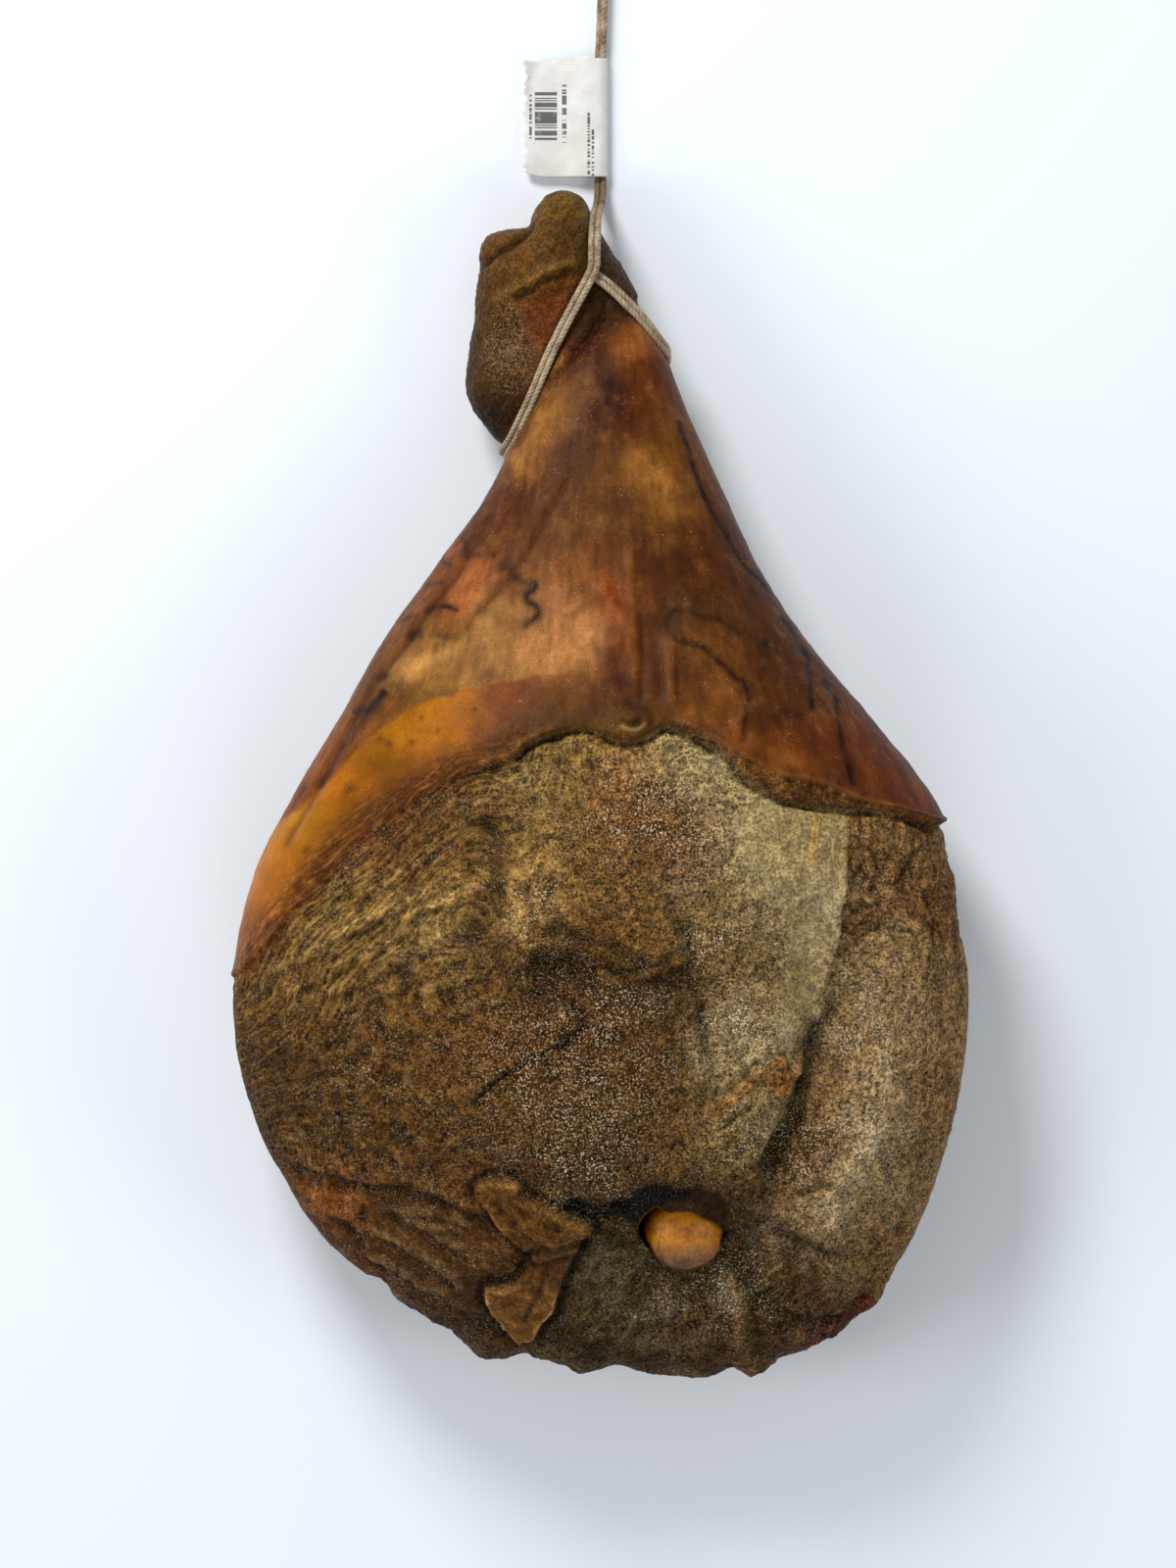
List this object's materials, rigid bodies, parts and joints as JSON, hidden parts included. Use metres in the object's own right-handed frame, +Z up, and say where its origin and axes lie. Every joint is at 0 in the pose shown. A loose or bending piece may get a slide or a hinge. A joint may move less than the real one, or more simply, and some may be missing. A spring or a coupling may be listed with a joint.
{
  "type": "cured ham",
  "caption": "Whole dry-cured ham on the bone, lying cut face up, with the ball of the hip joint showing, a noose of string round the hock and a folded weigh label on the string.",
  "frame": {"origin": "on the surface the ham lies on, under the middle of its box", "axes": "+Z up out of the cut face, +Y along the leg from the butt to the hock, +X to the right seen from above with the hock at the top"},
  "size_m": [0.3417, 0.7102, 0.1405],
  "materials": {
    "cured_meat": "dry cured rind, fat and granular cut face",
    "bone": "waxy amber bone",
    "twine": "waxed two-strand string",
    "label_paper": "thermal label paper, slightly creased"
  },
  "bodies": {
    "root": {"ham": "cured_meat", "femur_head": "bone", "noose": "twine", "hanging_string": "twine", "end_knot": "twine", "hanging_eye": "twine", "weigh_label": "label_paper"}
  },
  "joints": []
}
